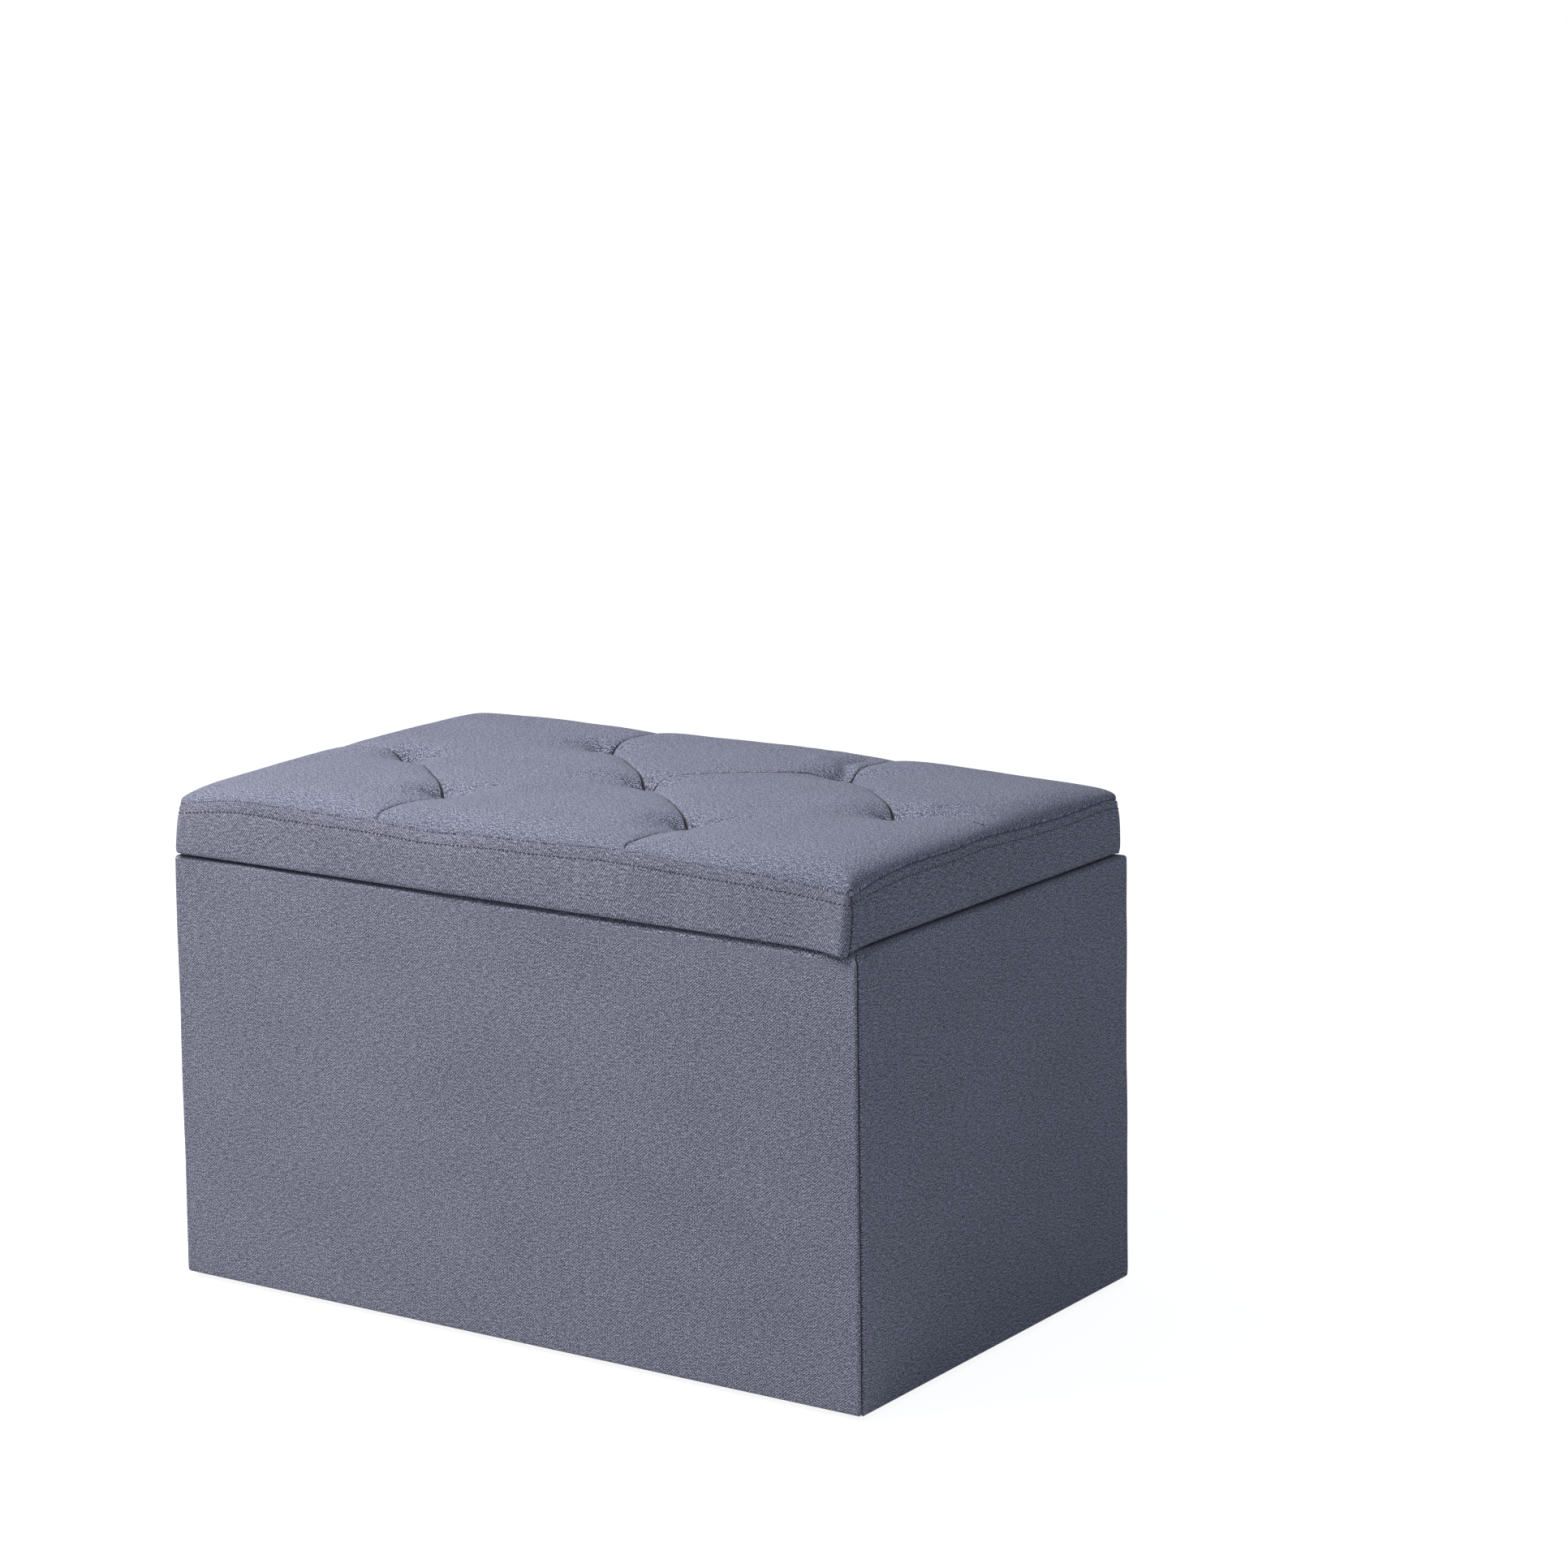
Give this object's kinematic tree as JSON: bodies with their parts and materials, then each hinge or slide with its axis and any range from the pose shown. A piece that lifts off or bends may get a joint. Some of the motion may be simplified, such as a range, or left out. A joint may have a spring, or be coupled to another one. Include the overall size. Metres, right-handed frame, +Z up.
{
  "type": "storage bench",
  "caption": "Upholstered box bench with a hinged, buttonless-tufted padded lid on butt hinges and slotted lid stays over a lined storage space.",
  "frame": {"origin": "centre of the footprint, on the floor under the glides", "axes": "+X to the right along the long front, +Y to the hinged back, +Z up"},
  "size_m": [0.762, 0.457, 0.4804],
  "materials": {
    "upholstery_fabric": "matte",
    "foam": "matte",
    "wadding": "matte",
    "board": "matte",
    "lining_cloth": "matte",
    "glide_plastic": "matte",
    "cord_thread": "matte",
    "plate_steel": "satin",
    "screw_steel": "satin",
    "staple_wire": "satin"
  },
  "bodies": {
    "box": {"board_front": "board", "board_back": "board", "board_left": "board", "board_right": "board", "board_floor": "board", "corner_blocks": "board", "cleats_long": "board", "cleats_short": "board", "frame_screws": "screw_steel", "cleat_screws": "screw_steel", "floor_screws": "screw_steel", "pad_front": "foam", "pad_back": "foam", "pad_left": "foam", "pad_right": "foam", "cover_front": "upholstery_fabric", "cover_back": "upholstery_fabric", "cover_left": "upholstery_fabric", "cover_right": "upholstery_fabric", "lining_walls": "lining_cloth", "lining_floor": "lining_cloth", "box_dust_cover": "lining_cloth", "box_staples": "staple_wire", "glides": "glide_plastic", "glide_screws": "screw_steel", "hinge_box_leaf_left": "plate_steel", "hinge_box_leaf_right": "plate_steel", "hinge_pin_left": "plate_steel", "hinge_pin_right": "plate_steel", "hinge_box_screws": "screw_steel", "stay_wall_plate_left": "plate_steel", "stay_wall_plate_right": "plate_steel", "stay_studs": "plate_steel", "stay_wall_screws": "screw_steel"},
    "lid": {"lid_board": "board", "lid_foam": "foam", "lid_wadding": "wadding", "lid_cover_top": "upholstery_fabric", "lid_band_front": "upholstery_fabric", "lid_band_back": "upholstery_fabric", "lid_band_left": "upholstery_fabric", "lid_band_right": "upholstery_fabric", "lid_dust_cover": "lining_cloth", "lid_staples": "staple_wire", "tuft_cords": "cord_thread", "tuft_washers": "glide_plastic", "hinge_lid_leaf_left": "plate_steel", "hinge_lid_leaf_right": "plate_steel", "hinge_lid_screws": "screw_steel", "stay_lid_bracket_left": "plate_steel", "stay_lid_bracket_right": "plate_steel", "stay_lid_screws": "screw_steel", "stay_rivets": "plate_steel"},
    "stay_arm_left": {"stay_arm_left": "plate_steel"},
    "stay_arm_right": {"stay_arm_right": "plate_steel"}
  },
  "joints": [
    {"name": "lid_hinge", "type": "hinge", "parent": "box", "child": "lid", "pos_m": [0, 0.2252, 0.4062], "axis": [-1, 0, 0], "range_deg": [0, 85]},
    {"name": "stay_arm_left_pivot", "type": "hinge", "parent": "lid", "child": "stay_arm_left", "pos_m": [-0.3547, 0.07586, 0.3922], "axis": [-1, 0, 0], "range_deg": [-42.5, 0]},
    {"name": "stay_arm_right_pivot", "type": "hinge", "parent": "lid", "child": "stay_arm_right", "pos_m": [0.3547, 0.07586, 0.3922], "axis": [-1, 0, 0], "range_deg": [-42.5, 0]}
  ],
  "couplings": [
    {"joint": "stay_arm_left_pivot", "follows": "lid_hinge", "ratio": -0.5},
    {"joint": "stay_arm_right_pivot", "follows": "lid_hinge", "ratio": -0.5}
  ]
}
